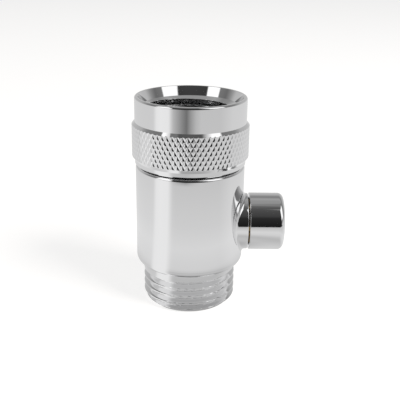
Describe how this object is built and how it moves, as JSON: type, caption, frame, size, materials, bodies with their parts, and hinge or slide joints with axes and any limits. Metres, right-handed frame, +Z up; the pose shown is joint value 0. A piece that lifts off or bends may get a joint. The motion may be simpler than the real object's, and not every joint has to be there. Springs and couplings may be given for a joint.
{
  "type": "in-line shower stop valve",
  "caption": "Chromed in-line stop valve with a knurled swivel union nut on top, a side push-pull knob and a male outlet thread below.",
  "frame": {"origin": "centre of the outlet's end face, on the main axis, which is the surface it stands on", "axes": "+Z up along the main axis from the outlet to the union nut, +X along the knob's axis from the body towards the knob"},
  "size_m": [0.034, 0.0256, 0.0474],
  "materials": {
    "chromed_brass_body": "polished chrome plate",
    "chromed_brass_nut": "polished chrome plate, knurled band",
    "chromed_brass_knob": "polished chrome plate",
    "raw_brass": "turned, unplated",
    "spring_steel": "plain stainless",
    "black_rubber": "matt moulded rubber",
    "white_plastic": "moulded acetal",
    "grey_plastic": "moulded acetal"
  },
  "bodies": {
    "housing": {"valve_body": "chromed_brass_body", "nut_glide_ring": "white_plastic", "nut_snap_ring": "spring_steel", "inlet_washer": "black_rubber", "inlet_strainer": "grey_plastic", "packing_washer": "raw_brass", "stem_o_ring": "black_rubber", "gland_nut": "raw_brass", "check_valve_housing": "grey_plastic", "check_valve_o_ring": "black_rubber", "check_valve_guide": "grey_plastic", "check_valve_spring": "spring_steel"},
    "nut": {"union_nut": "chromed_brass_nut"},
    "plunger": {"knob": "chromed_brass_knob", "stem": "raw_brass", "washer_holder": "raw_brass", "seat_washer": "black_rubber", "plunger_screw": "spring_steel"},
    "poppet": {"check_valve_poppet": "white_plastic", "check_valve_seal": "black_rubber"}
  },
  "joints": [
    {"name": "nut_swivel", "type": "hinge", "parent": "housing", "child": "nut", "pos_m": [0, 0, 0.0336], "axis": [0, 0, 1], "continuous": true},
    {"name": "knob_pull", "type": "slide", "parent": "housing", "child": "plunger", "axis": [1, 0, 0], "range_m": [0, 0.005]},
    {"name": "check_open", "type": "slide", "parent": "housing", "child": "poppet", "axis": [0, 0, -1], "range_m": [0, 0.0016], "stiffness_N_per_m": 60, "springref_m": -0.002, "deforming": ["check_valve_spring"]}
  ]
}
